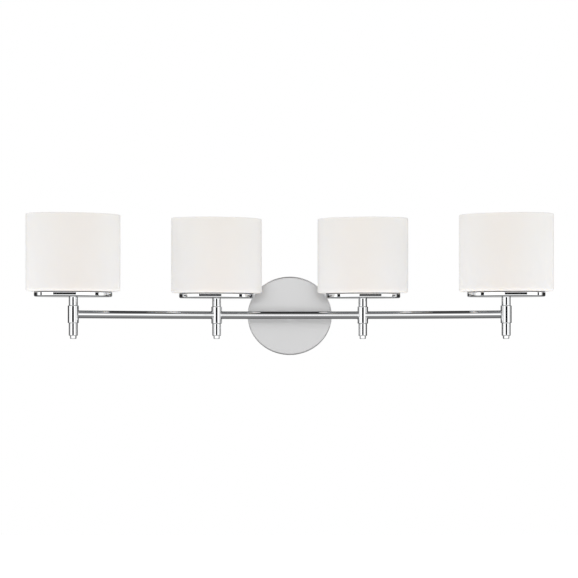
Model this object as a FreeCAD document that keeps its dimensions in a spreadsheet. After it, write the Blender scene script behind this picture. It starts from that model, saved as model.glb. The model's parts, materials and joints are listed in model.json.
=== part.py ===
import FreeCAD, Part
import os
import re
import Sketcher
from FreeCAD import Placement, Rotation, Vector

# Vanity light bar. Millimetres, +Z up, wall plane at Y = 0, front of the fitting towards -Y.
# The origin is the centre of the canopy's wall face. Four lights are numbered from the left.

doc = FreeCAD.newDocument("vanity_light_bar")
sheet = doc.addObject("Spreadsheet::Sheet", "Sizes")

SIZES = {
    # bowed bar: radius of its centre line, angle between lights, stand-off from the wall
    "bow_rad": 644, "light_arc": 21.48, "bar_out": 82, "bar_rad": 6.35, "bar_wall": 1.4,
    "bar_stop": 4, "turn_outer": 15, "turn_inner": 11,
    # fits
    "fixed_gap": 0.03, "slide_gap": 0.05,
    # canopy and what is inside it
    "canopy_wide": 142, "canopy_squash": 0.933, "canopy_depth": 22, "canopy_skin": 1.5,
    "canopy_round": 2.5, "strap_thick": 2, "strap_half": 10, "ear_gap": 2, "ear_thick": 2,
    "ear_depth": 14, "ear_half": 8, "slot_centre": 39.7, "slot_long": 14.3, "slot_rad": 2.4,
    "supply_rad": 8, "side_rad": 2, "side_head": 4, "side_high": 2.2, "side_level": 9,
    "earth_rad": 1.9, "earth_head": 3.2, "earth_high": 2.4, "earth_x": 16, "earth_z": 6,
    "arm_thread": 5, "arm_bore": 3.5, "arm_end": 10.5, "lock_rad": 8.5, "lock_thick": 1,
    "nut_flats": 16, "nut_thick": 4.5,
    # tee, stem and finial of one light, measured from the bar's centre line
    "tee_wall": 2.4, "tee_half": 13.9, "spigot_rad": 5.2, "wire_room": 1.05, "edge_round": 0.6,
    "stem_rad": 7.15, "stem_top": 27.6, "stem_bore": 3.5, "spigot_top": 39.4,
    "finial_low": 34, "tip_rad": 5.25, "tip_low_rad": 4.9, "tip_low": 39,
    # shade holder, gasket, shade
    "holder_wide": 124, "holder_deep": 68, "holder_top": 35, "holder_round": 2.4,
    "holder_lip": 1, "recess_gap": 1.5, "recess_floor": 31.4, "gasket_inset": 0.8,
    "gasket_wide": 5, "gasket_thick": 1,
    "shade_wide": 150, "shade_deep": 83, "shade_tall": 122.7, "shade_wall": 3.6,
    "shade_floor": 4, "hole_gap": 2, "shade_corner": 4, "rim_round": 1.5,
    # lamp socket, washer and screw ring
    "flange_lap": 1.5, "flange_thick": 2.6, "socket_rad": 13, "socket_top": 54,
    "socket_roof": 41, "washer_thick": 1, "ring_lap": 11, "ring_thick": 5,
    # two-pin lamp
    "pin_pitch": 9, "pin_wide": 3, "pin_thick": 1, "pin_long": 7, "lead_rad": 0.5,
    "base_rad": 7.5, "base_tall": 12, "boss_tall": 2, "lamp_rad": 6.5, "lamp_skin": 0.8,
    "lamp_tall": 29, "coil_level": 22, "coil_rad": 0.8,
    # wires and their connectors
    "wire_rad": 1.6, "branch_rad": 1.4, "wire_back": 8, "lead_reach": 24, "cap_start": 20,
    "cap_long": 16, "cap_big": 5, "cap_small": 3.4,
}
# sizes that follow from the ones above
DERIVED = {
    "canopy_high": "=canopy_wide * canopy_squash", "bar_bore": "=bar_rad - bar_wall",
    "tee_rad": "=bar_rad + tee_wall", "spigot_stop": "=bar_rad + wire_room",
    "ear_out": "=canopy_wide / 2 - canopy_skin - ear_gap",
    "flange_rad": "=socket_rad + flange_lap", "recess_rad": "=flange_rad + recess_gap",
    "shade_hole": "=socket_rad + hole_gap", "ring_rad": "=socket_rad + ring_lap",
}
for row, (alias, value) in enumerate((SIZES | DERIVED).items(), 1):
    sheet.set(f"A{row}", alias)
    sheet.set(f"B{row}", str(value))
    sheet.setAlias(f"B{row}", alias)
doc.recompute()


def ex(text):
    """Expression text in which each size is read from the sheet."""
    return re.sub(r"\b([a-z]+(?:_[a-z]+)+)\b", r"Sizes.\1", str(text))


def bind(obj, **props):
    for prop, text in props.items():
        obj.setExpression(prop.replace("__", "."), ex(text))
    return obj


def place(obj, x="0", y="0", z="0", turn="0", tilt=None):
    """Put obj at x, y, z. turn is about Z; tilt is a fixed rotation for parts that lie along X or Y."""
    if tilt is not None:
        obj.Placement = Placement(Vector(0, 0, 0), tilt)
    bind(obj, Placement__Base__x=x, Placement__Base__y=y, Placement__Base__z=z)
    if tilt is None and turn != "0":
        bind(obj, Placement__Rotation__Angle=turn)
    return obj


def plane(body, role):
    return [f for f in body.Origin.OriginFeatures if f.Role == role][0]


def new_body(name):
    body = doc.addObject("PartDesign::Body", name)
    body.Label = name
    return body


def new_sketch(body, name, role):
    sketch = body.newObject("Sketcher::SketchObject", name)
    sketch.AttachmentSupport = [(plane(body, role), "")]
    sketch.MapMode = "FlatFace"
    return sketch


def tie(sketch, kind, *args, value):
    index = sketch.addConstraint(Sketcher.Constraint(kind, *args, 1.0))
    sketch.setExpression(f"Constraints[{index}]", ex(value))


def outline(sketch, points):
    """Closed run of straight lines through points, each given as two size expressions."""
    count = len(points)
    start = [Vector(i + 1, (i * i) % 5 + 1, 0) for i in range(count)]
    for i in range(count):
        sketch.addGeometry(Part.LineSegment(start[i], start[(i + 1) % count]))
    for i in range(count):
        sketch.addConstraint(Sketcher.Constraint("Coincident", i, 2, (i + 1) % count, 1))
    for i, (across, up) in enumerate(points):
        if str(across) == "0":
            sketch.addConstraint(Sketcher.Constraint("PointOnObject", i, 1, -2))
        else:
            tie(sketch, "DistanceX", -1, 1, i, 1, value=across)
        if str(up) == "0":
            sketch.addConstraint(Sketcher.Constraint("PointOnObject", i, 1, -1))
        else:
            tie(sketch, "DistanceY", -1, 1, i, 1, value=up)


def oval(sketch, wide, high):
    """Ellipse centred on the sketch's origin, its long axis along the sketch's X."""
    sketch.addGeometry(Part.Ellipse(Vector(50, 0, 0), Vector(0, 30, 0), Vector(0, 0, 0)))
    sketch.exposeInternalGeometry(0)
    sketch.addConstraint(Sketcher.Constraint("Coincident", 0, 3, -1, 1))
    sketch.addConstraint(Sketcher.Constraint("Horizontal", 1))
    tie(sketch, "Distance", 1, value=wide)
    tie(sketch, "Distance", 2, value=high)


def circle(sketch, rad):
    sketch.addGeometry(Part.Circle(Vector(0, 0, 0), Vector(0, 0, 1), 5))
    sketch.addConstraint(Sketcher.Constraint("Coincident", 0, 3, -1, 1))
    tie(sketch, "Radius", 0, value=rad)


def turned(name, points):
    """Solid of revolution about its own Z from a profile of (radius, height) pairs."""
    body = new_body(name)
    sketch = new_sketch(body, name + "_profile", "XZ_Plane")
    outline(sketch, points)
    turn = body.newObject("PartDesign::Revolution", name + "_turn")
    turn.Profile = sketch
    turn.ReferenceAxis = (sketch, ["V_Axis"])
    turn.Angle = 360
    sketch.Visibility = False
    return body


def pad(body, name, draw, low, length):
    sketch = new_sketch(body, name + "_sketch", "XY_Plane")
    draw(sketch)
    bind(sketch, AttachmentOffset__Base__z=low)
    feature = body.newObject("PartDesign::Pad", name)
    feature.Profile = sketch
    bind(feature, Length=length)
    return feature


def pocket_up(body, name, draw, low, length):
    """Pocket that starts at height low and cuts upwards by length."""
    sketch = new_sketch(body, name + "_sketch", "XY_Plane")
    draw(sketch)
    bind(sketch, AttachmentOffset__Base__z=low)
    doc.recompute()
    before = body.Shape.Volume
    feature = body.newObject("PartDesign::Pocket", name)
    feature.Profile = sketch
    feature.Reversed = True
    bind(feature, Length=length)
    doc.recompute()
    if body.Shape.Volume >= before - 1e-3:
        raise RuntimeError(name + " cuts nothing")
    return feature


def rings_at(feature, *tests):
    """Names of the closed level edges of a feature that pass one of the (height, half width) tests."""
    found = []
    for number, edge in enumerate(feature.Shape.Edges, 1):
        box = edge.BoundBox
        for height, half in tests:
            if box.ZLength < 1e-4 and abs(box.ZMax - height) < 1e-3 and abs(box.XMax - half) < 1e-3:
                found.append(f"Edge{number}")
    return found


def rounded(body, name, rad, *tests):
    """Fillet the level edges named by (height, half width) size expressions."""
    doc.recompute()
    tip = body.Tip
    edges = rings_at(tip, *[(number(height), number(half)) for height, half in tests])
    if len(edges) < len(tests):
        raise RuntimeError(f"{name}: an edge is missing")
    fillet = body.newObject("PartDesign::Fillet", name)
    fillet.Base = (tip, edges)
    bind(fillet, Radius=rad)
    return fillet


def number(text):
    """Value of a size expression, worked out by the sheet in a spare cell."""
    sheet.set("D1", "=" + str(text))
    sheet.recompute()
    value = float(sheet.get("D1"))
    sheet.clear("D1")
    return value


def solid(kind, name, **props):
    return bind(doc.addObject("Part::" + kind, name), **props)


def cut(name, base, *tools):
    """base minus tools; the result carries the node's name."""
    if len(tools) > 1:
        tool = doc.addObject("Part::MultiFuse", name + "_tools")
        tool.Shapes = list(tools)
    else:
        tool = tools[0]
    result = doc.addObject("Part::Cut", name)
    result.Label = name
    result.Base, result.Tool = base, tool
    return result


def bow(name, rad, first, sweep):
    """Piece of the bowed bar's ring: starts at angle first, counted from +Y towards +X, going to -X."""
    ring = solid("Torus", name, Radius1="bow_rad", Radius2=rad, Angle3=sweep)
    ring.Placement = Placement(Vector(0, 0, 0), Rotation(Vector(0, 0, 1), 90))
    bind(ring, Placement__Base__y="-(bar_out + bow_rad)", Placement__Rotation__Angle=f"90 - ({first})")
    return ring


LIGHTS = {1: ("-1.5 * light_arc", "turn_outer"), 2: ("-0.5 * light_arc", "turn_inner"),
          3: ("0.5 * light_arc", "-turn_inner"), 4: ("1.5 * light_arc", "-turn_outer")}
FORWARD = Rotation(Vector(1, 0, 0), 90)     # own Z towards -Y
TO_RIGHT = Rotation(Vector(0, 1, 0), 90)    # own Z towards +X
TO_LEFT = Rotation(Vector(0, 1, 0), -90)    # own Z towards -X
nodes = []


def keep(obj):
    nodes.append(obj)
    return obj


# canopy: an open-backed oval shell, with holes for the arm and the two side screws
canopy_body = new_body("canopy_shell")
pad(canopy_body, "canopy_pad", lambda s: oval(s, "canopy_wide", "canopy_high"), "0", "canopy_depth")
rounded(canopy_body, "canopy_front_edge", "canopy_round", ("canopy_depth", "canopy_wide / 2"))
pocket_up(canopy_body, "canopy_hollow", lambda s: oval(s, "canopy_wide - 2 * canopy_skin",
                                                       "canopy_high - 2 * canopy_skin"),
          "0", "canopy_depth - canopy_skin")
canopy_body.Placement = Placement(Vector(0, 0, 0), FORWARD)
arm_hole = place(solid("Cylinder", "canopy_arm_hole", Radius="arm_thread + 0.1", Height="canopy_depth + 2"),
                 tilt=FORWARD)
side_bore = place(solid("Cylinder", "canopy_side_bore", Radius="side_rad + 0.2", Height="canopy_wide + 10"),
                  x="-canopy_wide / 2 - 5", y="-side_level", tilt=TO_RIGHT)
keep(cut("canopy", canopy_body, arm_hole, side_bore))

# mounting strap: flat bar on the wall with two bent ears
strap = solid("Box", "strap_flat", Length="2 * ear_out", Width="strap_thick", Height="2 * strap_half")
place(strap, x="-ear_out", y="-strap_thick", z="-strap_half")
ears = []
for side, x in (("left", "-ear_out"), ("right", "ear_out - ear_thick")):
    ear = solid("Box", f"strap_ear_{side}", Length="ear_thick", Width="ear_depth", Height="2 * ear_half")
    ears.append(place(ear, x=x, y="-ear_depth", z="-ear_half"))
strap_all = doc.addObject("Part::MultiFuse", "strap_blank")
strap_all.Shapes = [strap] + ears
strap_all.Refine = True
strap_cuts = [place(solid("Cylinder", "strap_supply_hole", Radius="supply_rad", Height="strap_thick + 2"),
                    y="1", tilt=FORWARD)]
for side, sign in (("left", "-"), ("right", "")):
    for end, shift in (("inner", "-"), ("outer", "+")):
        hole = solid("Cylinder", f"strap_slot_{side}_{end}", Radius="slot_rad", Height="strap_thick + 2")
        strap_cuts.append(place(hole, x=f"{sign}(slot_centre {shift} (slot_long / 2 - slot_rad))", y="1",
                                tilt=FORWARD))
    web = solid("Box", f"strap_slot_{side}_web", Length="slot_long - 2 * slot_rad",
                Width="strap_thick + 2", Height="2 * slot_rad")
    strap_cuts.append(place(web, x=f"{sign}slot_centre - (slot_long / 2 - slot_rad)",
                            y="-strap_thick - 1", z="-slot_rad"))
strap_cuts.append(place(solid("Cylinder", "strap_screw_bore", Radius="side_rad + fixed_gap",
                              Height="canopy_wide + 10"),
                        x="-canopy_wide / 2 - 5", y="-side_level", tilt=TO_RIGHT))
strap_cuts.append(place(solid("Cylinder", "strap_earth_bore", Radius="earth_rad + fixed_gap",
                              Height="strap_thick + 2"),
                        x="-earth_x", y="1", z="-earth_z", tilt=FORWARD))
keep(cut("mounting_strap", strap_all, *strap_cuts))

# two side screws in one node, and the earth screw
screws = []
for side, tilt, sign in (("left", TO_RIGHT, "-"), ("right", TO_LEFT, "")):
    screw = turned(f"side_screw_{side}", [
        ("0", "0"), ("side_head - 0.8", "0"), ("side_head", "0.8"), ("side_head", "side_high"),
        ("side_rad", "side_high"), ("side_rad", "side_high + 9"), ("0", "side_high + 9")])
    screws.append(place(screw, x=f"{sign}(canopy_wide / 2 + side_high)", y="-side_level", tilt=tilt))
side_screws = doc.addObject("Part::Compound", "side_screws")
side_screws.Label = "side_screws"
side_screws.Links = screws
keep(side_screws)
earth = turned("earth_screw", [
    ("0", "0"), ("earth_rad", "0"), ("earth_rad", "strap_thick"), ("earth_head", "strap_thick"),
    ("earth_head", "strap_thick + earth_high - 0.8"), ("earth_head - 0.8", "strap_thick + earth_high"),
    ("0", "strap_thick + earth_high")])
keep(place(earth, x="-earth_x", z="-earth_z", tilt=FORWARD))

# arm: shouldered tube, coped to the back of the bar; lock washer and nut inside the canopy
arm_body = turned("arm_tube", [
    ("arm_bore", "arm_end"), ("arm_thread", "arm_end"), ("arm_thread", "canopy_depth"),
    ("bar_rad", "canopy_depth"), ("bar_rad", "bar_out"), ("arm_bore", "bar_out")])
arm_body.Placement = Placement(Vector(0, 0, 0), FORWARD)
cope = bow("arm_cope", "bar_rad", "light_arc / 4", "light_arc / 2")
keep(cut("arm", arm_body, cope))
keep(place(turned("lock_washer", [
    ("arm_thread + 0.1", "0"), ("lock_rad", "0"), ("lock_rad", "lock_thick"),
    ("arm_thread + 0.1", "lock_thick")]), y="-(canopy_depth - canopy_skin - lock_thick)", tilt=FORWARD))
hexagon = solid("Prism", "nut_hexagon", Circumradius="nut_flats / sqrt(3)", Height="nut_thick")
hexagon.Polygon = 6
NUT_Y = "-(canopy_depth - canopy_skin - lock_thick - nut_thick)"
place(hexagon, y=NUT_Y, tilt=FORWARD)
nut_bore = place(solid("Cylinder", "nut_bore", Radius="arm_thread + fixed_gap", Height="nut_thick + 2"),
                 y=NUT_Y + " + 1", tilt=FORWARD)
keep(cut("arm_nut", hexagon, nut_bore))

# bar: three bowed tubes between the tees, the middle one drilled for the wires
STOP = "bar_stop / bow_rad * 180 / pi"
for name, first in (("bar_left", "-0.5"), ("bar_centre", "0.5"), ("bar_right", "1.5")):
    start, sweep = f"{first} * light_arc - {STOP}", f"light_arc - 2 * {STOP}"
    tools = [bow(name + "_hollow", "bar_bore", f"{first} * light_arc", "light_arc")]
    if name == "bar_centre":
        tools.append(place(solid("Cylinder", "bar_wire_hole", Radius="arm_bore", Height="2 * bar_rad"),
                           y="-bar_out + 2 * bar_rad", tilt=FORWARD))
    keep(cut(name, bow(name + "_rod", "bar_rad", start, sweep), *tools))


def light(n):
    """All pieces of light n, each in its own node."""
    angle, turn = LIGHTS[n]
    at = {"x": f"bow_rad * sin({angle})", "y": f"bow_rad * cos({angle}) - bar_out - bow_rad"}

    # tee: upright sleeve with cross bores only on the sides where a bar tube enters
    tee = place(turned(f"tee_sleeve_{n}", [
        ("spigot_rad + fixed_gap", "-tee_half"), ("tee_rad - edge_round", "-tee_half"),
        ("tee_rad", "-tee_half + edge_round"), ("tee_rad", "tee_half - edge_round"),
        ("tee_rad - edge_round", "tee_half"), ("spigot_rad + fixed_gap", "tee_half")]), **at)
    first, sweep = {1: (f"{angle} + 2", "2"), 4: (angle, "2")}.get(n, (f"{angle} + 2", "4"))
    keep(cut(f"tee_{n}", tee, bow(f"tee_branch_{n}", "bar_rad + fixed_gap", first, sweep)))

    keep(place(turned(f"stem_{n}", [
        ("stem_bore", "spigot_stop"), ("spigot_rad", "spigot_stop"), ("spigot_rad", "tee_half"),
        ("stem_rad", "tee_half"), ("stem_rad", "stem_top"), ("spigot_rad", "stem_top"),
        ("spigot_rad", "spigot_top"), ("stem_bore", "spigot_top")]), **at))
    keep(place(turned(f"finial_{n}", [
        ("0", "-spigot_stop"), ("spigot_rad", "-spigot_stop"), ("spigot_rad", "-tee_half"),
        ("stem_rad", "-tee_half"), ("stem_rad", "-finial_low + edge_round"),
        ("stem_rad - edge_round", "-finial_low"), ("tip_rad", "-finial_low"),
        ("tip_low_rad", "-tip_low + edge_round"), ("tip_low_rad - edge_round", "-tip_low"),
        ("0", "-tip_low")]), **at))

    # oval holder with a round recess for the socket's flange
    holder = new_body(f"holder_{n}")
    pad(holder, f"holder_pad_{n}", lambda s: oval(s, "holder_wide", "holder_deep"),
        "stem_top", "holder_top - stem_top")
    rounded(holder, f"holder_low_edge_{n}", "holder_round", ("stem_top", "holder_wide / 2"))
    rounded(holder, f"holder_top_edge_{n}", "holder_lip", ("holder_top", "holder_wide / 2"))
    pocket_up(holder, f"holder_recess_{n}", lambda s: circle(s, "recess_rad"),
              "recess_floor", "holder_top - recess_floor")
    pocket_up(holder, f"holder_hole_{n}", lambda s: circle(s, "spigot_rad + slide_gap"),
              "stem_top", "holder_top - stem_top")
    keep(place(holder, turn=turn, **at))

    gasket = new_body(f"gasket_{n}")
    pad(gasket, f"gasket_pad_{n}", lambda s: oval(s, "holder_wide - 2 * gasket_inset",
                                                  "holder_deep - 2 * gasket_inset"),
        "holder_top", "gasket_thick")
    pocket_up(gasket, f"gasket_hole_{n}", lambda s: oval(s, "holder_wide - 2 * (gasket_inset + gasket_wide)",
                                                         "holder_deep - 2 * (gasket_inset + gasket_wide)"),
              "holder_top", "gasket_thick")
    keep(place(gasket, turn=turn, **at))

    # opal glass shade: oval tumbler, open at the top, with a round hole in its floor
    low = "holder_top + gasket_thick"
    shade = new_body(f"shade_{n}")
    pad(shade, f"shade_pad_{n}", lambda s: oval(s, "shade_wide", "shade_deep"), low, "shade_tall")
    rounded(shade, f"shade_corner_{n}", "shade_corner", (low, "shade_wide / 2"))
    pocket_up(shade, f"shade_hollow_{n}", lambda s: oval(s, "shade_wide - 2 * shade_wall",
                                                         "shade_deep - 2 * shade_wall"),
              f"{low} + shade_floor", "shade_tall - shade_floor")
    rounded(shade, f"shade_rim_{n}", "rim_round", (f"{low} + shade_tall", "shade_wide / 2"),
            (f"{low} + shade_tall", "shade_wide / 2 - shade_wall"))
    pocket_up(shade, f"shade_mouth_{n}", lambda s: circle(s, "shade_hole"), low, "shade_floor")
    keep(place(shade, turn=turn, **at))

    # ceramic socket, held on the stem; its outside carries the screw ring
    socket_body = turned(f"socket_body_{n}", [
        ("spigot_rad + fixed_gap", "recess_floor"), ("flange_rad", "recess_floor"),
        ("flange_rad", "recess_floor + flange_thick"), ("socket_rad", "recess_floor + flange_thick"),
        ("socket_rad", "socket_top - 1"), ("socket_rad - 1", "socket_top"), ("0", "socket_top"),
        ("0", "socket_roof"), ("spigot_rad + fixed_gap", "socket_roof")])
    slots = []
    for side, sign in (("left", "-"), ("right", "")):
        slot = solid("Box", f"pin_slot_{side}_{n}", Length="pin_wide + 2 * slide_gap",
                     Width="pin_thick + 2 * slide_gap", Height="pin_long + 2")
        slots.append(place(slot, x=f"{sign}pin_pitch / 2 - pin_wide / 2 - slide_gap",
                           y="-pin_thick / 2 - slide_gap", z="socket_top - pin_long - 0.3"))
    keep(place(cut(f"socket_{n}", socket_body, *slots), turn=turn, **at))

    floor = f"{low} + shade_floor"
    keep(place(turned(f"washer_{n}", [
        ("socket_rad + 0.4", floor), ("ring_rad", floor), ("ring_rad", f"{floor} + washer_thick"),
        ("socket_rad + 0.4", f"{floor} + washer_thick")]), **at))
    keep(place(turned(f"screw_ring_{n}", [
        ("socket_rad + slide_gap", f"{floor} + washer_thick"), ("ring_rad", f"{floor} + washer_thick"),
        ("ring_rad", f"{floor} + washer_thick + ring_thick - 1"),
        ("ring_rad - 1", f"{floor} + washer_thick + ring_thick"),
        ("socket_rad + slide_gap", f"{floor} + washer_thick + ring_thick")]), **at))

    # lamp: pins, leads and coil in one piece, round ceramic base, glass envelope
    base_top = "socket_top + base_tall"
    wires = []
    for side, sign in (("left", "-"), ("right", "")):
        pin = solid("Box", f"lamp_pin_{side}_{n}", Length="pin_wide", Width="pin_thick",
                    Height="pin_long + 3")
        wires.append(place(pin, x=f"{sign}pin_pitch / 2 - pin_wide / 2", y="-pin_thick / 2",
                           z="socket_top - pin_long"))
        lead = solid("Cylinder", f"lamp_lead_{side}_{n}", Radius="lead_rad", Height="coil_level + 0.4 - 1")
        wires.append(place(lead, x=f"{sign}pin_pitch / 2", z="socket_top + 1"))
    coil = solid("Cylinder", f"lamp_coil_{n}", Radius="coil_rad", Height="pin_pitch")
    wires.append(place(coil, x="-pin_pitch / 2", z="socket_top + coil_level", tilt=TO_RIGHT))
    filament = doc.addObject("Part::MultiFuse", f"lamp_filament_{n}")
    filament.Label = f"lamp_filament_{n}"
    filament.Shapes = wires
    keep(place(filament, turn=turn, **at))

    base = turned(f"lamp_base_body_{n}", [
        ("0", "socket_top"), ("base_rad - 0.8", "socket_top"), ("base_rad", "socket_top + 0.8"),
        ("base_rad", base_top), ("lamp_rad - lamp_skin - slide_gap", base_top),
        ("lamp_rad - lamp_skin - slide_gap", f"{base_top} + boss_tall"), ("0", f"{base_top} + boss_tall")])
    holes = []
    for side, sign in (("left", "-"), ("right", "")):
        hole = solid("Box", f"base_slot_{side}_{n}", Length="pin_wide", Width="pin_thick",
                     Height="pin_long + 3")
        holes.append(place(hole, x=f"{sign}pin_pitch / 2 - pin_wide / 2", y="-pin_thick / 2",
                           z="socket_top - pin_long"))
        hole = solid("Cylinder", f"base_bore_{side}_{n}", Radius="lead_rad", Height="coil_level")
        holes.append(place(hole, x=f"{sign}pin_pitch / 2", z="socket_top + 1"))
    keep(place(cut(f"lamp_base_{n}", base, *holes), turn=turn, **at))

    glass = turned(f"lamp_glass_{n}", [
        ("lamp_rad - lamp_skin", base_top), ("lamp_rad", base_top), ("lamp_rad", f"{base_top} + lamp_tall"),
        ("0", f"{base_top} + lamp_tall"), ("0", f"{base_top} + lamp_tall - lamp_skin"),
        ("lamp_rad - lamp_skin", f"{base_top} + lamp_tall - lamp_skin")])
    rounded(glass, f"lamp_dome_{n}", "lamp_rad - 0.4", (f"{base_top} + lamp_tall", "lamp_rad"))
    rounded(glass, f"lamp_dome_inside_{n}", "lamp_rad - lamp_skin - 0.4",
            (f"{base_top} + lamp_tall - lamp_skin", "lamp_rad - lamp_skin"))
    keep(place(glass, **at))


for n in LIGHTS:
    light(n)

# wires: one run along the bar, a branch up each stem, the feed through the arm, two leads
run = [bow("wire_run", "wire_rad", "1.5 * light_arc + 0.15", "3 * light_arc + 0.3")]
for n, (angle, _) in LIGHTS.items():
    branch = solid("Cylinder", f"wire_branch_{n}", Radius="branch_rad", Height="socket_roof")
    run.append(place(branch, x=f"bow_rad * sin({angle})", y=f"bow_rad * cos({angle}) - bar_out - bow_rad"))
feed = solid("Cylinder", "wire_feed", Radius="branch_rad", Height="bar_out - wire_back + 1")
run.append(place(feed, y="-wire_back + 1", tilt=FORWARD))
leads = solid("Cylinder", "wire_leads", Radius="wire_rad", Height="2 * lead_reach")
run.append(place(leads, x="-lead_reach", y="-wire_back", tilt=TO_RIGHT))
harness = doc.addObject("Part::MultiFuse", "wiring_harness")
harness.Label = "wiring_harness"
harness.Shapes = run
keep(harness)
caps = []
for side, tilt, sign in (("left", TO_LEFT, "-"), ("right", TO_RIGHT, "")):
    cap = turned(f"wire_connector_{side}", [
        ("wire_rad", "0"), ("cap_big", "0"), ("cap_small", "cap_long"), ("0", "cap_long"),
        ("0", "lead_reach - cap_start"), ("wire_rad", "lead_reach - cap_start")])
    caps.append(place(cap, x=f"{sign}cap_start", y="-wire_back", tilt=tilt))
connectors = doc.addObject("Part::Compound", "wire_connectors")
connectors.Label = "wire_connectors"
connectors.Links = caps
keep(connectors)

doc.recompute()
for obj in doc.Objects:
    if "Invalid" in obj.State or "Error" in obj.State:
        raise RuntimeError(f"{obj.Name} failed: {obj.State}")
os.makedirs("parts", exist_ok=True)
for obj in nodes:
    if obj.Shape.isNull() or not obj.Shape.isValid():
        raise RuntimeError(f"{obj.Label} has no valid shape")
    obj.Shape.exportStep(f"parts/{obj.Label}.step")
FreeCAD.Console.PrintMessage(f"{len(nodes)} nodes written\n")
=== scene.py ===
import json
import math

import bmesh
import bpy
from mathutils import Matrix, Vector


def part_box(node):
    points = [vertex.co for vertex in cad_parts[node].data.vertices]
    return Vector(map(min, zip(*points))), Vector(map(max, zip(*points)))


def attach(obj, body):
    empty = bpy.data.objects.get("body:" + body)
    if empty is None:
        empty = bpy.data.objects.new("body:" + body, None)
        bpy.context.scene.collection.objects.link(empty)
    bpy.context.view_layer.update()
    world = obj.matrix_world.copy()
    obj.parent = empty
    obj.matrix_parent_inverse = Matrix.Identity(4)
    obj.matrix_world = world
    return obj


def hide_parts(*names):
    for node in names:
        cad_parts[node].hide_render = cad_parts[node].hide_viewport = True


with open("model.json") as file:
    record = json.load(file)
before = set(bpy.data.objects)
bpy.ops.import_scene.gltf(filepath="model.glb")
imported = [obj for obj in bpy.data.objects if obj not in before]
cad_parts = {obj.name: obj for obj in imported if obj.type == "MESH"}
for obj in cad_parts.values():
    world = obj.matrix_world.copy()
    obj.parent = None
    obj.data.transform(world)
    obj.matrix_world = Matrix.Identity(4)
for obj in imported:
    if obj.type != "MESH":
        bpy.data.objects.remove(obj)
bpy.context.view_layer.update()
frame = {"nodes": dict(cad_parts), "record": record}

LIGHTS = (1, 2, 3, 4)
SHADE_TURN = {1: 15.0, 2: 11.0, 3: -11.0, 4: -15.0}     # degrees about each stem
SHADE_WIDE, SHADE_DEEP = 0.0750, 0.0415                 # half axes of a shade
HOLDER_WIDE, HOLDER_DEEP = 0.0620, 0.0340               # half axes of a holder
TEE_RADIUS, TEE_HALF = 0.00875, 0.0139
STEM_RADIUS, SPIGOT_RADIUS, STEM_BORE = 0.00715, 0.0052, 0.0035
TEE_BORE = 0.0054
SPIGOT_END, FINIAL_LOW = 0.0074, 0.034                  # below the bar's centre line
TIP_RADIUS, TIP_LOW_RADIUS = 0.00525, 0.0049
RECESS_RADIUS, RECESS_FLOOR = 0.016, 0.0314             # round seat for the socket in a holder
GLASS_WALL, GLASS_FLOOR, GLASS_HOLE = 0.0036, 0.0040, 0.015
RING_BORE, RING_RADIUS = 0.01305, 0.0236
BAR_WALL, BAR_STOP = 0.0014, 0.004                      # tube wall, gap from a light's axis


def middle(name):
    low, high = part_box(name)
    return ((low[0] + high[0]) / 2, (low[1] + high[1]) / 2)


# the bow's radius follows from how far the outer lights stand forward of the bar's middle
BAR_RADIUS = (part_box("bar_centre")[1][2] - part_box("bar_centre")[0][2]) / 2
BAR_BORE = BAR_RADIUS - BAR_WALL
BAR_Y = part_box("bar_centre")[1][1] - BAR_RADIUS
outer_x, outer_y = middle("stem_4")
BOW_RADIUS = (outer_x ** 2 + (BAR_Y - outer_y) ** 2) / (2 * (BAR_Y - outer_y))
LIGHT_ANGLE = {n: math.asin(middle(f"stem_{n}")[0] / BOW_RADIUS) for n in LIGHTS}


# ---------------------------------------------------------------- node helpers

def node(tree, kind, inputs=None, **props):
    made = tree.nodes.new(kind)
    for key, value in props.items():
        setattr(made, key, value)
    for key, value in (inputs or {}).items():
        if isinstance(value, bpy.types.NodeSocket):
            tree.links.new(value, made.inputs[key])
        else:
            made.inputs[key].default_value = value
    return made


def math_node(tree, operation, first, second=0.0, third=0.0):
    values = {0: first, 1: second}
    if operation in ("MULTIPLY_ADD", "WRAP"):
        values[2] = third
    return node(tree, "ShaderNodeMath", values, operation=operation).outputs[0]


def ramp(tree, fac, stops):
    made = node(tree, "ShaderNodeValToRGB", {"Fac": fac})
    elements = made.color_ramp.elements
    while len(elements) < len(stops):
        elements.new(0.5)
    for element, (at, grey) in zip(elements, stops):
        element.position = at
        element.color = (grey, grey, grey, 1.0) if isinstance(grey, (int, float)) else (*grey, 1.0)
    return made.outputs["Color"]


def group_io(tree, inputs, outputs):
    for name, kind, value in inputs:
        made = tree.interface.new_socket(name=name, in_out="INPUT", socket_type=kind)
        if value is not None:
            made.default_value = value
    for name, kind in outputs:
        tree.interface.new_socket(name=name, in_out="OUTPUT", socket_type=kind)
    return tree.nodes.new("NodeGroupInput"), tree.nodes.new("NodeGroupOutput")


# ---------------------------------------------------------------- shared shader groups

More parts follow.
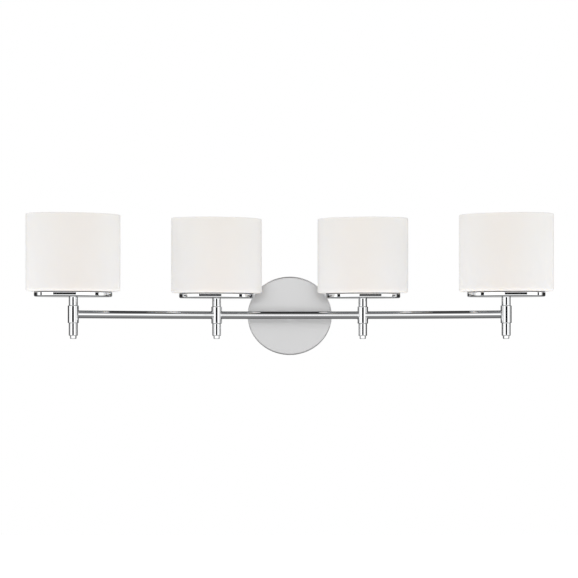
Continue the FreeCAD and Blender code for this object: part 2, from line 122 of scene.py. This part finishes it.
def make_haze():
    """Soft patches of handling and fine speckle: gives a roughness and a tiny surface height."""
    tree = bpy.data.node_groups.new("polish_haze", "ShaderNodeTree")
    given, out = group_io(tree, [
        ("Patch Scale", "NodeSocketFloat", 30.0), ("Speckle Scale", "NodeSocketFloat", 900.0),
        ("Smooth", "NodeSocketFloat", 0.05), ("Hazy", "NodeSocketFloat", 0.12)],
        [("Roughness", "NodeSocketFloat"), ("Height", "NodeSocketFloat")])
    place = node(tree, "ShaderNodeTexCoord").outputs["Object"]
    patches = node(tree, "ShaderNodeTexNoise", {"Vector": place, "Scale": given.outputs["Patch Scale"],
                                                "Detail": 3.0, "Roughness": 0.55})
    speckle = node(tree, "ShaderNodeTexNoise", {"Vector": place, "Scale": given.outputs["Speckle Scale"],
                                                "Detail": 1.0})
    mix = math_node(tree, "MULTIPLY_ADD", speckle.outputs["Fac"], 0.3,
                    math_node(tree, "MULTIPLY", patches.outputs["Fac"], 0.7))
    rough = node(tree, "ShaderNodeMapRange", {"Value": mix, "From Min": 0.35, "From Max": 0.65,
                                              "To Min": given.outputs["Smooth"],
                                              "To Max": given.outputs["Hazy"]})
    tree.links.new(rough.outputs["Result"], out.inputs["Roughness"])
    tree.links.new(speckle.outputs["Fac"], out.inputs["Height"])
    return tree


def make_tint():
    """Slow colour drift between two near shades."""
    tree = bpy.data.node_groups.new("colour_drift", "ShaderNodeTree")
    given, out = group_io(tree, [
        ("Light", "NodeSocketColor", (0.8, 0.8, 0.8, 1.0)), ("Dark", "NodeSocketColor", (0.7, 0.7, 0.7, 1.0)),
        ("Scale", "NodeSocketFloat", 18.0), ("Stretch", "NodeSocketVector", (1.0, 1.0, 1.0))],
        [("Color", "NodeSocketColor")])
    place = node(tree, "ShaderNodeTexCoord").outputs["Object"]
    sized = node(tree, "ShaderNodeVectorMath", {0: place, 1: given.outputs["Stretch"]}, operation="MULTIPLY")
    drift = node(tree, "ShaderNodeTexNoise", {"Vector": sized.outputs[0], "Scale": given.outputs["Scale"],
                                              "Detail": 4.0})
    spread = node(tree, "ShaderNodeMapRange", {"Value": drift.outputs["Fac"], "From Min": 0.35,
                                               "From Max": 0.65})
    mix = tree.nodes.new("ShaderNodeMix")
    mix.data_type = "RGBA"
    tree.links.new(spread.outputs["Result"], mix.inputs[0])
    tree.links.new(given.outputs["Dark"], mix.inputs[6])
    tree.links.new(given.outputs["Light"], mix.inputs[7])
    tree.links.new(mix.outputs[2], out.inputs["Color"])
    return tree


HAZE = make_haze()
TINT = make_tint()


def material(name, light, dark, smooth, hazy, patch=30.0, speckle=900.0, drift=18.0,
             stretch=(1.0, 1.0, 1.0), bump=0.0, bump_distance=0.0001, **sockets):
    """Principled material with the shared colour drift and polish haze."""
    made = bpy.data.materials.new(name)
    made.use_nodes = True
    tree = made.node_tree
    shader = tree.nodes["Principled BSDF"]
    tint = tree.nodes.new("ShaderNodeGroup")
    tint.node_tree = TINT
    tint.inputs["Light"].default_value = (*light, 1.0)
    tint.inputs["Dark"].default_value = (*dark, 1.0)
    tint.inputs["Scale"].default_value = drift
    tint.inputs["Stretch"].default_value = stretch
    haze = tree.nodes.new("ShaderNodeGroup")
    haze.node_tree = HAZE
    for key, value in (("Patch Scale", patch), ("Speckle Scale", speckle), ("Smooth", smooth),
                       ("Hazy", hazy)):
        haze.inputs[key].default_value = value
    tree.links.new(tint.outputs["Color"], shader.inputs["Base Color"])
    tree.links.new(haze.outputs["Roughness"], shader.inputs["Roughness"])
    if bump:
        bumped = node(tree, "ShaderNodeBump", {"Height": haze.outputs["Height"], "Strength": bump,
                                               "Distance": bump_distance})
        tree.links.new(bumped.outputs["Normal"], shader.inputs["Normal"])
    for key, value in sockets.items():
        shader.inputs[key.replace("_", " ")].default_value = value
    return made


def opal_material():
    """Opal glass with painted light: a painted warm lamp glow round the lamp, and painted shade that makes it
    greyer low down and at its rim; outside the glow the sides stay cooler and paler.
    """
    made = material("opal_glass", (0.940, 0.926, 0.892), (0.930, 0.914, 0.880), 0.32, 0.40,
                    patch=9.0, drift=7.0, IOR=1.25, Subsurface_Weight=0.6, Subsurface_Scale=1.0,
                    Subsurface_Radius=(0.010, 0.009, 0.0075))
    tree = made.node_tree
    shader = tree.nodes["Principled BSDF"]
    drift = shader.inputs["Base Color"].links[0].from_socket
    # painted light multiplied into the base colour: a warm lamp glow round the lamp, and painted shade low
    # down and at the rim
    for label, colour in (("painted_lamp_glow", (0.955, 0.868, 0.800, 1.0)), ("painted_foot_shade", (0.86, 0.85, 0.865, 1.0)),
                          ("painted_brim_shade", (0.78, 0.78, 0.795, 1.0))):
        mask = node(tree, "ShaderNodeAttribute", attribute_name=label)
        mix = tree.nodes.new("ShaderNodeMix")
        mix.data_type, mix.blend_type = "RGBA", "MULTIPLY"
        tree.links.new(mask.outputs["Fac"], mix.inputs[0])
        tree.links.new(drift, mix.inputs[6])
        mix.inputs[7].default_value = colour
        drift = mix.outputs[2]
    tree.links.new(drift, shader.inputs["Base Color"])
    return made


def canopy_material():
    """Satin canopy metal, rougher round its rolled edge, where a painted paler sheen is mixed into the
    colour.
    """
    made = material("canopy_chrome", (0.60, 0.60, 0.602), (0.595, 0.595, 0.597), 0.30, 0.32,
                    patch=14.0, Metallic=1.0)
    tree = made.node_tree
    shader = tree.nodes["Principled BSDF"]
    edge = node(tree, "ShaderNodeAttribute", attribute_name="edge").outputs["Fac"]
    rough = math_node(tree, "MULTIPLY_ADD", edge, 0.35, shader.inputs["Roughness"].links[0].from_socket)
    # painted highlight: the colour turns paler round the rolled edge
    pale = tree.nodes.new("ShaderNodeMix")
    pale.data_type = "RGBA"
    tree.links.new(edge, pale.inputs[0])
    tree.links.new(shader.inputs["Base Color"].links[0].from_socket, pale.inputs[6])
    pale.inputs[7].default_value = (0.92, 0.92, 0.925, 1.0)
    tree.links.new(rough, shader.inputs["Roughness"])
    tree.links.new(pale.outputs[2], shader.inputs["Base Color"])
    return made


MATERIAL = {
    "chrome": material("polished_chrome", (0.80, 0.81, 0.82), (0.78, 0.785, 0.79), 0.015, 0.035,
                       Metallic=1.0),
    "canopy_steel": canopy_material(),
    "zinc_steel": material("zinc_plate", (0.62, 0.64, 0.66), (0.50, 0.53, 0.57), 0.28, 0.50,
                           drift=120.0, bump=0.25, Metallic=1.0),
    "brass": material("turned_brass", (0.80, 0.62, 0.32), (0.66, 0.48, 0.22), 0.14, 0.32,
                      stretch=(1.0, 1.0, 12.0), drift=60.0, Metallic=1.0),
    "earth_green": material("green_steel", (0.05, 0.32, 0.10), (0.03, 0.22, 0.07), 0.25, 0.40,
                            Metallic=0.8),
    "wire_cover": material("wire_cover", (0.84, 0.84, 0.80), (0.74, 0.74, 0.70), 0.45, 0.65),
    "connector_nylon": material("connector_nylon", (0.78, 0.30, 0.06), (0.66, 0.23, 0.04), 0.30, 0.45),
    "gasket_silicone": material("dark_silicone", (0.11, 0.11, 0.115), (0.08, 0.08, 0.085), 0.50, 0.70,
                                bump=0.2),
    "socket_ceramic": material("unglazed_ceramic", (0.84, 0.82, 0.77), (0.74, 0.72, 0.67), 0.55, 0.80,
                               drift=150.0, bump=0.4),
    "opal_glass": opal_material(),
    "washer_fibre": material("pale_fibre", (0.78, 0.75, 0.68), (0.64, 0.60, 0.52), 0.70, 0.90,
                             drift=400.0, bump=0.5),
    "lamp_ceramic": material("lamp_ceramic", (0.86, 0.85, 0.82), (0.78, 0.77, 0.74), 0.35, 0.55,
                             drift=90.0, bump=0.2),
    "lamp_wire": material("nickel_wire", (0.66, 0.64, 0.60), (0.48, 0.46, 0.43), 0.25, 0.45,
                          drift=300.0, Metallic=1.0),
    "lamp_glass": material("frosted_quartz", (0.95, 0.95, 0.94), (0.90, 0.90, 0.89), 0.35, 0.50,
                           Transmission_Weight=0.6, IOR=1.46),
}
for name, part in frame["nodes"].items():
    wanted = next(s["material_slot"] for s in frame["record"]["subparts"] if s["node"] == name)
    part.data.materials.clear()
    part.data.materials.append(MATERIAL[wanted])


# ---------------------------------------------------------------- mesh helpers

def finish_piece(name, mesh, slot, body, *replaced, sharp=32.0):
    """Object at the origin from a mesh already in place, smooth but for its sharp edges."""
    mesh.polygons.foreach_set("use_smooth", [True] * len(mesh.polygons))
    mesh.set_sharp_from_angle(angle=math.radians(sharp))
    piece = bpy.data.objects.new(name, mesh)
    bpy.context.scene.collection.objects.link(piece)
    mesh.materials.clear()
    mesh.materials.append(MATERIAL[slot])
    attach(piece, body)
    if replaced:
        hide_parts(*replaced)
    return piece


def mesh_of_rings(name, rings, closed=True, capped=False):
    """Skin over a list of equal rings of points; closed joins the last ring to the first."""
    count = len(rings[0])
    points = [p for ring in rings for p in ring]
    faces = []
    last = len(rings) if closed else len(rings) - 1
    for r in range(last):
        a, b = r * count, ((r + 1) % len(rings)) * count
        for i in range(count):
            j = (i + 1) % count
            faces.append((a + i, a + j, b + j, b + i))
    if capped:
        faces.append(tuple(range(count))[::-1])
        faces.append(tuple(range((len(rings) - 1) * count, len(rings) * count)))
    mesh = bpy.data.meshes.new(name)
    mesh.from_pydata([tuple(p) for p in points], [], faces)
    shape = bmesh.new()
    shape.from_mesh(mesh)
    bmesh.ops.remove_doubles(shape, verts=shape.verts, dist=1e-7)
    bmesh.ops.recalc_face_normals(shape, faces=shape.faces)
    shape.to_mesh(mesh)
    shape.free()
    return mesh


def softened(points, steps=4):
    """Closed profile of (out, up, corner radius) with its corners rounded.

    Each corner is followed and led by a close extra point, so that flats beside it shade flat.
    """
    result = []
    count = len(points)
    for i, (x, y, radius) in enumerate(points):
        here = Vector((x, y))
        before = Vector(points[i - 1][:2]) - here
        after = Vector(points[(i + 1) % count][:2]) - here
        if radius <= 0:
            result.append((x, y))
            continue
        angle = before.angle(after)
        reach = min(radius / math.tan(angle / 2), 0.49 * before.length, 0.49 * after.length)
        radius = reach * math.tan(angle / 2)
        a, b = before.normalized(), after.normalized()
        centre = here + (a + b).normalized() * (radius / math.sin(angle / 2))
        start, end = here + a * reach - centre, here + b * reach - centre
        turn = start.angle_signed(end)
        hold = [min(0.3 * radius, 0.25 * (edge.length - reach)) for edge in (before, after)]
        if hold[0] > 1e-6:
            result.append(tuple(here + a * (reach + hold[0])))
        for s in range(steps + 1):
            spot = start.copy()
            spot.rotate(Matrix.Rotation(-turn * s / steps, 2))
            result.append(tuple(centre + spot))
        if hold[1] > 1e-6:
            result.append(tuple(here + b * (reach + hold[1])))
    return result


def oval_rings(profile, wide, deep, centre, turn=0.0, count=160):
    """Rings for a profile of (inset, z): ellipses whose half axes are less than wide and deep by inset."""
    turned = Matrix.Rotation(math.radians(turn), 3, "Z")
    rings = []
    for inset, z in profile:
        ring = []
        for i in range(count):
            angle = 2 * math.pi * i / count
            flat = Vector(((wide - inset) * math.cos(angle), (deep - inset) * math.sin(angle), 0.0))
            ring.append(turned @ flat + Vector((centre[0], centre[1], z)))
        rings.append(ring)
    return rings


def round_piece(name, points, centre, slot, body, *replaced, count=72, steps=4):
    """Turned piece about an upright axis from a closed profile of (radius, z, corner) in metres."""
    profile = softened(points, steps)
    rings = oval_rings([(-r, z) for r, z in profile], 0.0, 0.0, centre, count=count)
    return finish_piece(name, mesh_of_rings(name, rings), slot, body, *replaced)


# ---------------------------------------------------------------- bar

def bar_point(angle, out=0.0, up=0.0):
    """Point at angle along the bow, moved out from its centre line (away from the bow's centre)."""
    reach = BOW_RADIUS + out
    middle_y = BAR_Y - BOW_RADIUS
    return Vector((reach * math.sin(angle), middle_y + reach * math.cos(angle), up))


STEPS, AROUND = 96, 64
for name, first, last in (("bar_left", 1, 2), ("bar_centre", 2, 3), ("bar_right", 3, 4)):
    ends = (LIGHT_ANGLE[first] + BAR_STOP / BOW_RADIUS, LIGHT_ANGLE[last] - BAR_STOP / BOW_RADIUS)
    rings = []
    for radius, forward in ((BAR_RADIUS, True), (BAR_BORE, False)):
        order = range(STEPS + 1) if forward else range(STEPS, -1, -1)
        for s in order:
            along = ends[0] + (ends[1] - ends[0]) * s / STEPS
            rings.append([bar_point(along, radius * math.cos(2 * math.pi * i / AROUND),
                                    radius * math.sin(2 * math.pi * i / AROUND)) for i in range(AROUND)])
    finish_piece(name.replace("bar", "bar_tube"), mesh_of_rings(name, rings), "chrome", "fixture", name)


# ---------------------------------------------------------------- lights

for n in LIGHTS:
    spot = middle(f"stem_{n}")
    turn = SHADE_TURN[n]
    low, high = (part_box(f"tee_{n}")[k][2] for k in (0, 1))
    round_piece(f"tee_fitting_{n}", [
        (TEE_BORE, low, 0.0), (TEE_RADIUS, low, 0.0007), (TEE_RADIUS, high, 0.0007),
        (TEE_BORE, high, 0.0)],
        spot, "chrome", "fixture", f"tee_{n}", count=96)
    low, high = (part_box(f"stem_{n}")[k][2] for k in (0, 1))
    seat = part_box(f"holder_{n}")[0][2]
    round_piece(f"stem_tube_{n}", [
        (STEM_BORE, low, 0.0), (SPIGOT_RADIUS, low, 0.0003), (SPIGOT_RADIUS, TEE_HALF, 0.0),
        (STEM_RADIUS, TEE_HALF, 0.0004), (STEM_RADIUS, seat, 0.0003), (SPIGOT_RADIUS, seat, 0.0),
        (SPIGOT_RADIUS, high, 0.0004), (STEM_BORE, high, 0.0)],
        spot, "chrome", "fixture", f"stem_{n}", count=96)
    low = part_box(f"finial_{n}")[0][2]
    round_piece(f"finial_cap_{n}", [
        (0.0, -SPIGOT_END, 0.0), (SPIGOT_RADIUS, -SPIGOT_END, 0.0003), (SPIGOT_RADIUS, -TEE_HALF, 0.0),
        (STEM_RADIUS, -TEE_HALF, 0.0004), (STEM_RADIUS, -FINIAL_LOW, 0.0008),
        (TIP_RADIUS, -FINIAL_LOW, 0.0002), (TIP_LOW_RADIUS, low, 0.0008), (0.0, low, 0.0)],
        spot, "chrome", "fixture", f"finial_{n}", count=96)

    # oval holder
    low, high = (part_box(f"holder_{n}")[k][2] for k in (0, 1))
    profile = softened([
        (0.0280, low, 0.0), (0.0, low, 0.0024), (0.0, high, 0.0010), (0.0170, high, 0.0)], 8)
    outer = oval_rings(profile, HOLDER_WIDE, HOLDER_DEEP, spot, turn, 192)
    screw_hole = SPIGOT_RADIUS + 0.00005
    hole = oval_rings([
        (-RECESS_RADIUS, high), (-RECESS_RADIUS, RECESS_FLOOR), (-screw_hole, RECESS_FLOOR),
        (-screw_hole, low)], 0.0, 0.0, spot, turn, 192)
    finish_piece(f"shade_holder_{n}", mesh_of_rings(f"holder_{n}", outer + hole), "chrome", "fixture",
                 f"holder_{n}")

    # opal shade: one closed wall with a rolled rim and a round hole in its floor
    low, high = (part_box(f"shade_{n}")[k][2] for k in (0, 1))
    inside = low + GLASS_FLOOR
    profile = softened([
        (0.022, low, 0.0), (0.0, low, 0.0040), (0.0, high, 0.0015), (GLASS_WALL, high, 0.0015),
        (GLASS_WALL, inside, 0.0012), (0.020, inside, 0.0)], 10)
    skin = oval_rings(profile, SHADE_WIDE, SHADE_DEEP, spot, turn, 224)
    mouth = oval_rings([(-GLASS_HOLE, inside), (-GLASS_HOLE, low)], 0.0, 0.0, spot, turn, 224)
    glass = mesh_of_rings(f"shade_{n}", skin + mouth)
    # masks for painted light on the glass: the lamp's warm glow, and painted shade at the foot and at the rim
    painted_lamp_glow = glass.attributes.new("painted_lamp_glow", "FLOAT", "POINT")
    painted_foot_shade = glass.attributes.new("painted_foot_shade", "FLOAT", "POINT")
    painted_brim_shade = glass.attributes.new("painted_brim_shade", "FLOAT", "POINT")
    along = Vector((math.cos(math.radians(turn)), math.sin(math.radians(turn)), 0.0))
    for i, vertex in enumerate(glass.vertices):
        away = (vertex.co - Vector((*spot, 0.0))).dot(along) / 0.044
        raised = (vertex.co.z - (low + 0.058)) / 0.055
        # painted lamp glow: warm tint centred round the lamp's height
        painted_lamp_glow.data[i].value = math.exp(-(away ** 2 + raised ** 2))
        # painted shade: the colour turns greyer towards the shade's foot
        painted_foot_shade.data[i].value = max(0.0, 1.0 - (vertex.co.z - low) / 0.035)
        # painted shade: the colour turns greyer in the top 30 mm towards the rim
        painted_brim_shade.data[i].value = max(0.0, 1.0 - (high - vertex.co.z) / 0.030)
    finish_piece(f"opal_shade_{n}", glass, "opal_glass", f"glass_{n}", f"shade_{n}", sharp=50.0)


# ---------------------------------------------------------------- pieces that keep the CAD shape

def refined_copy(name, new_name, slot, body, bevel=0.0, sharp=32.0):
    """Copy of a CAD node, welded, with its edges broken by a small bevel."""
    mesh = frame["nodes"][name].data.copy()
    mesh.name = new_name
    shape = bmesh.new()
    shape.from_mesh(mesh)
    bmesh.ops.remove_doubles(shape, verts=shape.verts, dist=2e-6)
    bmesh.ops.dissolve_limit(shape, angle_limit=math.radians(0.4), verts=shape.verts, edges=shape.edges)
    shape.to_mesh(mesh)
    shape.free()
    piece = finish_piece(new_name, mesh, slot, body, name, sharp=sharp)
    if bevel:
        cut = piece.modifiers.new("broken_edges", "BEVEL")
        cut.width = bevel
        cut.segments = 2
        cut.limit_method = "ANGLE"
        cut.angle_limit = math.radians(50)
        cut.harden_normals = True
    return piece


SLOT = {part["node"]: part["material_slot"] for part in frame["record"]["subparts"]}
canopy = refined_copy("canopy", "canopy_shell", "canopy_steel", "fixture", sharp=24.0)
low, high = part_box("canopy")
# mask for the painted paler sheen (and added roughness) round the canopy's rolled edge
edge = canopy.data.attributes.new("edge", "FLOAT", "POINT")
for i, vertex in enumerate(canopy.data.vertices):
    reach = math.hypot(vertex.co.x / high[0], vertex.co.z / high[2])     # 1 on the outline
    edge.data[i].value = min(1.0, max(0.0, (reach - 0.968) / 0.020))
refined_copy("mounting_strap", "wall_strap", "zinc_steel", "fixture", bevel=0.0003)
refined_copy("arm_nut", "arm_hex_nut", "brass", "fixture", bevel=0.0004)
refined_copy("arm", "arm_tube", "chrome", "fixture", sharp=24.0)
for name in ("side_screws", "earth_screw", "lock_washer", "wire_connectors", "wiring_harness"):
    refined_copy(name, "fine_" + name, SLOT[name], "fixture")
for n in LIGHTS:
    for name, body in (("gasket", "fixture"), ("socket", "fixture"), ("washer", f"friction_washer_{n}"),
                       ("lamp_base", f"lamp_{n}"), ("lamp_glass", f"lamp_{n}"),
                       ("lamp_filament", f"lamp_{n}")):
        refined_copy(f"{name}_{n}", f"fine_{name}_{n}", SLOT[f"{name}_{n}"], body)


# ---------------------------------------------------------------- geometry nodes: threads and knurls

def geometry_tree(name, sizes):
    tree = bpy.data.node_groups.new(name, "GeometryNodeTree")
    tree.interface.new_socket(name="Geometry", in_out="OUTPUT", socket_type="NodeSocketGeometry")
    for label, kind, value in sizes:
        tree.interface.new_socket(name=label, in_out="INPUT", socket_type=kind).default_value = value
    given = tree.nodes.new("NodeGroupInput")
    out = tree.nodes.new("NodeGroupOutput")
    return tree, given.outputs, out


def end_tree(tree, out, shape, slot):
    """Realize Instances and Set Material, then the output."""
    solid = node(tree, "GeometryNodeRealizeInstances", {0: shape})
    painted = node(tree, "GeometryNodeSetMaterial", {"Geometry": solid.outputs[0]})
    painted.inputs["Material"].default_value = MATERIAL[slot]
    tree.links.new(painted.outputs[0], out.inputs[0])


def thread_tree():
    """Round thread crests wound up a socket."""
    tree, given, out = geometry_tree("screw_thread", [
        ("Turns", "NodeSocketFloat", 10.0), ("Radius", "NodeSocketFloat", 0.0127),
        ("Height", "NodeSocketFloat", 0.017), ("Crest", "NodeSocketFloat", 0.0003)])
    helix = node(tree, "GeometryNodeCurveSpiral", {
        "Resolution": 64, "Rotations": given["Turns"], "Start Radius": given["Radius"],
        "End Radius": given["Radius"], "Height": given["Height"]})
    crest = node(tree, "GeometryNodeCurvePrimitiveCircle", {"Resolution": 8, "Radius": given["Crest"]})
    wound = node(tree, "GeometryNodeCurveToMesh", {"Curve": helix.outputs[0],
                                                   "Profile Curve": crest.outputs[0], "Fill Caps": True})
    end_tree(tree, out, wound.outputs[0], "socket_ceramic")
    return tree


def knurl_tree():
    """Upright ribs round the edge of a screw ring."""
    tree, given, out = geometry_tree("ring_knurl", [
        ("Count", "NodeSocketInt", 90), ("Radius", "NodeSocketFloat", 0.0236),
        ("Rib", "NodeSocketFloat", 0.0004), ("Height", "NodeSocketFloat", 0.0034)])
    circle = node(tree, "GeometryNodeMeshCircle", {"Vertices": given["Count"], "Radius": given["Radius"]})
    rib = node(tree, "GeometryNodeMeshCylinder", {"Vertices": 8, "Radius": given["Rib"],
                                                  "Depth": given["Height"]})
    ribs = node(tree, "GeometryNodeInstanceOnPoints", {"Points": circle.outputs[0],
                                                       "Instance": rib.outputs[0]})
    end_tree(tree, out, ribs.outputs[0], "brass")
    return tree


def grown(name, tree, at, body, slot, **sizes):
    """Plain mesh piece made by a geometry tree, moved to its place."""
    seed = bpy.data.objects.new(name + "_seed", bpy.data.meshes.new(name + "_seed"))
    bpy.context.scene.collection.objects.link(seed)
    grow = seed.modifiers.new("grow", "NODES")
    grow.node_group = tree
    for item in tree.interface.items_tree:
        if item.item_type == "SOCKET" and item.in_out == "INPUT" and item.name in sizes:
            grow[item.identifier] = sizes[item.name]
    view = bpy.context.evaluated_depsgraph_get()
    mesh = bpy.data.meshes.new_from_object(seed.evaluated_get(view))
    mesh.name = name
    bpy.data.objects.remove(seed)
    mesh.transform(Matrix.Translation(Vector(at)))
    return finish_piece(name, mesh, slot, body)


THREAD = thread_tree()
KNURL = knurl_tree()
for n in LIGHTS:
    spot = middle(f"stem_{n}")
    low, high = (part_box(f"socket_{n}")[k][2] for k in (0, 1))
    flange = low + 0.0026
    grown(f"socket_thread_{n}", THREAD, (*spot, flange + 0.0022), "fixture", "socket_ceramic",
          Turns=11.0, Radius=0.0127, Height=0.0165, Crest=0.0003)
    low, high = (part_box(f"screw_ring_{n}")[k][2] for k in (0, 1))
    round_piece(f"glass_ring_{n}", [
        (RING_BORE, low, 0.0003), (RING_RADIUS, low, 0.0004), (RING_RADIUS, high - 0.0006, 0.0003),
        (0.0226, high, 0.0004), (0.0160, high, 0.0003), (0.0156, high - 0.0012, 0.0003),
        (RING_BORE, high - 0.0012, 0.0002)],
        spot, "brass", f"ring_{n}", f"screw_ring_{n}", count=96)
    grown(f"ring_knurl_{n}", KNURL, (*spot, (low + high) / 2 - 0.0003), f"ring_{n}", "brass", Height=0.0038)


# ---------------------------------------------------------------- brazed joints between bar and tees

def braze(name, angle, side):
    """Small smooth bead where a bar tube meets a tee, on the side given by its sign."""
    BEAD, AROUND, ROUND = 0.0006, 96, 10
    path = []
    for i in range(AROUND):
        phi = 2 * math.pi * i / AROUND
        out, up = BAR_RADIUS * math.cos(phi), BAR_RADIUS * math.sin(phi)
        along = math.sqrt(TEE_RADIUS ** 2 - out ** 2) * side
        path.append(bar_point(angle + along / BOW_RADIUS, out, up))
    rings = []
    for i in range(AROUND):
        ahead = (path[(i + 1) % AROUND] - path[i - 1]).normalized()
        centre = bar_point(angle + 1.2 * side * TEE_RADIUS / BOW_RADIUS)
        first = (path[i] - centre - ahead * ahead.dot(path[i] - centre)).normalized()
        second = ahead.cross(first)
        rings.append([path[i] + BEAD * (first * math.cos(2 * math.pi * k / ROUND)
                                        + second * math.sin(2 * math.pi * k / ROUND)) for k in range(ROUND)])
    finish_piece(name, mesh_of_rings(name, rings), "chrome", "fixture")


for n, sides in ((1, (1,)), (2, (-1, 1)), (3, (-1, 1)), (4, (-1,))):
    for side in sides:
        braze(f"braze_bead_{n}_{'left' if side < 0 else 'right'}", LIGHT_ANGLE[n], side)


# ---------------------------------------------------------------- studio

floor_mesh = bpy.data.meshes.new("floor")
HALF, LEVEL = 12.0, -1.9
floor_mesh.from_pydata([(-HALF, -HALF, LEVEL), (HALF, -HALF, LEVEL), (HALF, HALF, LEVEL),
                        (-HALF, HALF, LEVEL)], [], [(0, 1, 2, 3)])
floor = bpy.data.objects.new("floor", floor_mesh)
bpy.context.scene.collection.objects.link(floor)
pale = bpy.data.materials.new("pale_floor")
pale.use_nodes = True
pale_shader = pale.node_tree.nodes["Principled BSDF"]
pale_shader.inputs["Base Color"].default_value = (0.95, 0.95, 0.95, 1.0)
pale_shader.inputs["Roughness"].default_value = 0.9
pale_shader.inputs["Specular IOR Level"].default_value = 0.0
pale_shader.inputs["Emission Color"].default_value = (1.0, 1.0, 1.0, 1.0)
pale_shader.inputs["Emission Strength"].default_value = 0.40
floor_mesh.materials.append(pale)
floor.visible_glossy = False

scene = bpy.context.scene
scene.view_settings.view_transform = "Standard"
scene.view_settings.look = "None"
world = bpy.data.worlds.new("studio")
scene.world = world
world.use_nodes = True
sky = world.node_tree
sky.nodes.clear()
toward = node(sky, "ShaderNodeTexCoord").outputs["Generated"]
axis = node(sky, "ShaderNodeSeparateXYZ", {0: toward})
height = math_node(sky, "MULTIPLY_ADD", axis.outputs["Z"], 0.5, 0.5)
front_room = ramp(sky, height, [
    (0.00, 0.14), (0.08, 0.20), (0.24, 0.25), (0.34, 0.30), (0.41, 1.0),
    (0.60, 1.0), (0.66, 0.55), (0.80, 0.16), (0.92, 0.05), (1.00, 0.03)])
rear_room = ramp(sky, height, [
    (0.00, 0.14), (0.15, 0.10), (0.35, 0.03), (0.50, 0.02), (0.62, 0.02), (0.80, 0.02), (1.00, 0.03)])
side = node(sky, "ShaderNodeMapRange", {"Value": axis.outputs["Y"], "From Min": -0.20, "From Max": 0.10})
back_wall = node(sky, "ShaderNodeMapRange", {"Value": axis.outputs["Y"], "From Min": 0.80, "From Max": 0.95})
rear_lit = sky.nodes.new("ShaderNodeMix")
rear_lit.data_type = "RGBA"
sky.links.new(back_wall.outputs["Result"], rear_lit.inputs[0])
sky.links.new(rear_room, rear_lit.inputs[6])
rear_lit.inputs[7].default_value = (0.35, 0.35, 0.35, 1.0)
room = sky.nodes.new("ShaderNodeMix")
room.data_type = "RGBA"
sky.links.new(side.outputs["Result"], room.inputs[0])
sky.links.new(front_room, room.inputs[6])
sky.links.new(rear_lit.outputs[2], room.inputs[7])
# masks for the dark shapes among the front lights
def near(value, centre, reach):
    """1 where value is within reach of centre, else 0."""
    away = math_node(sky, "ABSOLUTE", math_node(sky, "ADD", value, -centre))
    return math_node(sky, "LESS_THAN", away, reach)


# dark slot in the front wall of lights, level with the eye
slot_x = near(axis.outputs["X"], 0.02, 0.36)
slot_z = near(axis.outputs["Z"], 0.020, 0.026)
slot_y = math_node(sky, "LESS_THAN", axis.outputs["Y"], 0.0)
slot_all = math_node(sky, "MULTIPLY", math_node(sky, "MULTIPLY", slot_x, slot_z), slot_y)
# narrow upright flags at both sides of the lights
flag_x = near(math_node(sky, "ABSOLUTE", axis.outputs["X"]), 0.88, 0.035)
flag_z = near(axis.outputs["Z"], 0.0, 0.20)
flags = math_node(sky, "MULTIPLY", math_node(sky, "MULTIPLY", flag_x, flag_z), slot_y)
slot_all = math_node(sky, "MAXIMUM", slot_all, flags)
slotted = sky.nodes.new("ShaderNodeMix")
slotted.data_type = "RGBA"
sky.links.new(slot_all, slotted.inputs[0])
sky.links.new(room.outputs[2], slotted.inputs[6])
slotted.inputs[7].default_value = (0.01, 0.01, 0.011, 1.0)
ray = node(sky, "ShaderNodeLightPath")
mirror = node(sky, "ShaderNodeBackground", {"Color": slotted.outputs[2], "Strength": 1.5})
plain = node(sky, "ShaderNodeBackground", {"Color": (1.0, 1.0, 1.0, 1.0), "Strength": 0.95})
seen = node(sky, "ShaderNodeBackground", {"Color": (1.0, 1.0, 1.0, 1.0), "Strength": 1.0})
first_mix = sky.nodes.new("ShaderNodeMixShader")
sky.links.new(ray.outputs["Is Glossy Ray"], first_mix.inputs[0])
sky.links.new(plain.outputs[0], first_mix.inputs[1])
sky.links.new(mirror.outputs[0], first_mix.inputs[2])
second_mix = sky.nodes.new("ShaderNodeMixShader")
sky.links.new(ray.outputs["Is Camera Ray"], second_mix.inputs[0])
sky.links.new(first_mix.outputs[0], second_mix.inputs[1])
sky.links.new(seen.outputs[0], second_mix.inputs[2])
out = node(sky, "ShaderNodeOutputWorld")
sky.links.new(second_mix.outputs[0], out.inputs["Surface"])


def softbox(name, at, aim, size, power):
    data = bpy.data.lights.new(name, "AREA")
    data.shape = "RECTANGLE"
    data.size, data.size_y = size
    data.energy = power
    lamp = bpy.data.objects.new(name, data)
    scene.collection.objects.link(lamp)
    lamp.location = at
    lamp.rotation_mode = "QUATERNION"
    lamp.rotation_quaternion = (Vector(aim) - Vector(at)).to_track_quat("-Z", "Y")
    lamp.visible_glossy = False
    lamp.visible_camera = False
    return lamp


softbox("left_softbox", (-2.2, -1.2, 0.7), (0.0, -0.1, 0.1), (0.8, 1.4), 3.0)
softbox("right_softbox", (2.2, -1.2, 0.7), (0.0, -0.1, 0.1), (0.8, 1.4), 3.0)
softbox("top_softbox", (0.0, -0.9, 2.0), (0.0, -0.1, 0.1), (2.4, 0.8), 0.6)

# ---------------------------------------------------------------- camera

view_data = bpy.data.cameras.new("camera")
view_data.sensor_width = 36.0
view_data.lens = 96.2
view_data.shift_x = -0.0012
view_data.shift_y = 0.088
camera = bpy.data.objects.new("camera", view_data)
scene.collection.objects.link(camera)
camera.location = (0.0, -2.632, -0.0406)
camera.rotation_euler = (math.radians(90), 0.0, 0.0)
scene.camera = camera
